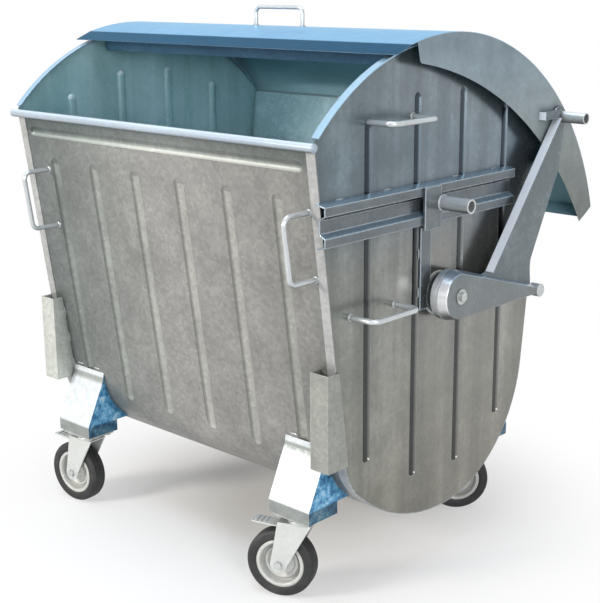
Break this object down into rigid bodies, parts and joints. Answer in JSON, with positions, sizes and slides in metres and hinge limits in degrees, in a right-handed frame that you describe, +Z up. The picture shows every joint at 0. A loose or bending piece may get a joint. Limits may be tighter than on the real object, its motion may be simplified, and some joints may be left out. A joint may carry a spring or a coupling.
{
  "type": "wheeled waste container",
  "caption": "Galvanised steel wheeled refuse container with a swinging barrel lid, lifting trunnions, handles and swivel castors.",
  "frame": {"origin": "on the floor, under the middle of the body and in line with the lid's swing axis", "axes": "+X along the length towards the right end wall, -Y out of the front wall, +Z up"},
  "size_m": [1.53, 1.34, 1.6164],
  "materials": {
    "galvanised_sheet": "hot-dip galvanised, spangled and weathered",
    "galvanised_bar": "hot-dip galvanised, satin",
    "bright_zinc_legs": "fresh hot-dip galvanised, bright",
    "zinc_fork": "bright zinc plated, pressed",
    "zinc_hardware": "zinc plated",
    "wheel_rim_steel": "pale grey painted steel",
    "tyre_rubber": "moulded solid rubber",
    "bronze_bush": "machined"
  },
  "bodies": {
    "container": {"front_wall": "galvanised_sheet", "bottom_trough": "galvanised_sheet", "rear_wall": "galvanised_sheet", "end_wall_right": "galvanised_sheet", "end_wall_left": "galvanised_sheet", "edge_strips": "galvanised_sheet", "dome_bars": "galvanised_bar", "front_rim": "galvanised_bar", "rear_rim": "galvanised_bar", "side_rail_right": "galvanised_bar", "side_rail_left": "galvanised_bar", "trunnion_right": "galvanised_bar", "trunnion_left": "galvanised_bar", "trunnion_straps": "galvanised_bar", "front_handle_right": "galvanised_bar", "front_handle_left": "galvanised_bar", "end_handles_right": "galvanised_bar", "end_handles_left": "galvanised_bar", "corner_pockets": "galvanised_sheet", "leg_front_right": "bright_zinc_legs", "leg_front_left": "bright_zinc_legs", "leg_rear_right": "bright_zinc_legs", "leg_rear_left": "bright_zinc_legs", "pivot_axles": "galvanised_bar", "pivot_bolts": "zinc_hardware", "lid_stops": "galvanised_bar", "castor_plates": "zinc_hardware", "castor_fasteners": "zinc_hardware"},
    "lid": {"lid_shell": "galvanised_sheet", "lid_front_lip": "galvanised_sheet", "lid_cheek_right": "galvanised_sheet", "lid_cheek_left": "galvanised_sheet", "lid_handle": "galvanised_bar", "lid_arm_right": "galvanised_sheet", "lid_arm_left": "galvanised_sheet", "lever_backs": "galvanised_sheet", "lever_cover_right": "galvanised_sheet", "lever_cover_left": "galvanised_sheet", "lever_tips": "galvanised_bar", "arm_pins": "galvanised_bar", "arm_brackets": "galvanised_sheet", "pivot_bushes": "bronze_bush"},
    "castor_front_right": {"fork_front_right": "zinc_fork", "axle_front_right": "zinc_hardware"},
    "wheel_front_right": {"wheel_rim_front_right": "wheel_rim_steel", "tyre_front_right": "tyre_rubber"},
    "pedal_front_right": {"brake_pedal_front_right": "zinc_fork"},
    "castor_front_left": {"fork_front_left": "zinc_fork", "axle_front_left": "zinc_hardware"},
    "wheel_front_left": {"wheel_rim_front_left": "wheel_rim_steel", "tyre_front_left": "tyre_rubber"},
    "pedal_front_left": {"brake_pedal_front_left": "zinc_fork"},
    "castor_rear_right": {"fork_rear_right": "zinc_fork", "axle_rear_right": "zinc_hardware"},
    "wheel_rear_right": {"wheel_rim_rear_right": "wheel_rim_steel", "tyre_rear_right": "tyre_rubber"},
    "castor_rear_left": {"fork_rear_left": "zinc_fork", "axle_rear_left": "zinc_hardware"},
    "wheel_rear_left": {"wheel_rim_rear_left": "wheel_rim_steel", "tyre_rear_left": "tyre_rubber"}
  },
  "joints": [
    {"name": "lid_swing", "type": "hinge", "parent": "container", "child": "lid", "pos_m": [0, 0, 0.835], "axis": [1, 0, 0], "range_deg": [0, 32.5]},
    {"name": "swivel_front_right", "type": "hinge", "parent": "container", "child": "castor_front_right", "pos_m": [0.48, -0.416, 0.24], "axis": [0, 0, 1], "continuous": true},
    {"name": "roll_front_right", "type": "hinge", "parent": "castor_front_right", "child": "wheel_front_right", "pos_m": [0.42661, -0.43866, 0.101], "axis": [0.3907, -0.9205, 0], "continuous": true},
    {"name": "brake_front_right", "type": "hinge", "parent": "castor_front_right", "child": "pedal_front_right", "pos_m": [0.44318, -0.43163, 0.214], "axis": [0.3907, -0.9205, 0], "range_deg": [0, 15]},
    {"name": "swivel_front_left", "type": "hinge", "parent": "container", "child": "castor_front_left", "pos_m": [-0.48, -0.416, 0.24], "axis": [0, 0, 1], "continuous": true},
    {"name": "roll_front_left", "type": "hinge", "parent": "castor_front_left", "child": "wheel_front_left", "pos_m": [-0.53757, -0.42307, 0.101], "axis": [0.1219, -0.9925, 0], "continuous": true},
    {"name": "brake_front_left", "type": "hinge", "parent": "castor_front_left", "child": "pedal_front_left", "pos_m": [-0.5197, -0.42087, 0.214], "axis": [0.1219, -0.9925, 0], "range_deg": [0, 15]},
    {"name": "swivel_rear_right", "type": "hinge", "parent": "container", "child": "castor_rear_right", "pos_m": [0.48, 0.415, 0.24], "axis": [0, 0, 1], "continuous": true},
    {"name": "roll_rear_right", "type": "hinge", "parent": "castor_rear_right", "child": "wheel_rear_right", "pos_m": [0.4369, 0.37619, 0.101], "axis": [0.6691, -0.7431, 0], "continuous": true},
    {"name": "swivel_rear_left", "type": "hinge", "parent": "container", "child": "castor_rear_left", "pos_m": [-0.48, 0.415, 0.24], "axis": [0, 0, 1], "continuous": true},
    {"name": "roll_rear_left", "type": "hinge", "parent": "castor_rear_left", "child": "wheel_rear_left", "pos_m": [-0.53712, 0.40493, 0.101], "axis": [0.1736, -0.9848, 0], "continuous": true}
  ]
}
